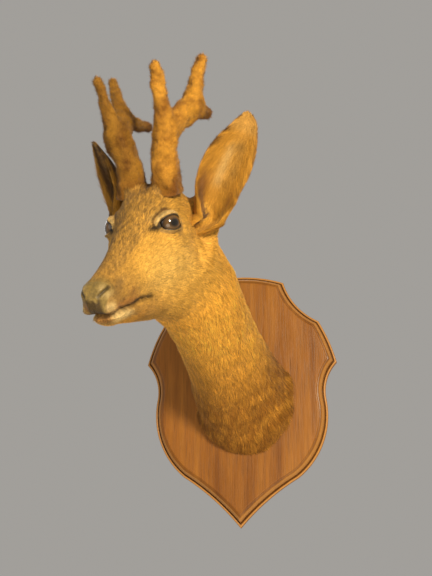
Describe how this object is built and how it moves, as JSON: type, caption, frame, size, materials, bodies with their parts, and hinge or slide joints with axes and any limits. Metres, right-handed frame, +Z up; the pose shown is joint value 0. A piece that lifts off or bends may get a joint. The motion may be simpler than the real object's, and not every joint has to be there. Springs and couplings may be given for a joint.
{
  "type": "roe deer head mount",
  "caption": "Head and neck of a roe buck with antlers in velvet, mounted on a shield-shaped wooden board that hangs on a wall.",
  "frame": {"origin": "centre of the board's back face", "axes": "+Y into the wall out of the board's back, +Z up, +X to the right seen from the front; the head stands off towards -Y"},
  "size_m": [0.2776, 0.4124, 0.4965],
  "materials": {
    "coat": "short golden tan hair",
    "nose_skin": "olive brown, slightly shiny",
    "eye_glass": "dark brown glass, polished",
    "velvet": "matt furry velvet",
    "board_wood": "stained and varnished hardwood, satin",
    "steel": "bright zinc plate"
  },
  "bodies": {
    "root": {"board": "board_wood", "hanger_plate": "steel", "hanger_screw_left": "steel", "hanger_screw_right": "steel", "neck": "coat", "head": "coat", "muzzle": "coat", "nose": "nose_skin", "lower_jaw": "coat", "ear_left": "coat", "ear_right": "coat", "eye_left": "eye_glass", "eye_right": "eye_glass", "antler_left_beam": "velvet", "antler_left_front_tine": "velvet", "antler_left_top_tine": "velvet", "antler_left_rear_tine": "velvet", "antler_right_beam": "velvet", "antler_right_front_tine": "velvet", "antler_right_top_tine": "velvet", "antler_right_rear_tine": "velvet"}
  },
  "joints": []
}
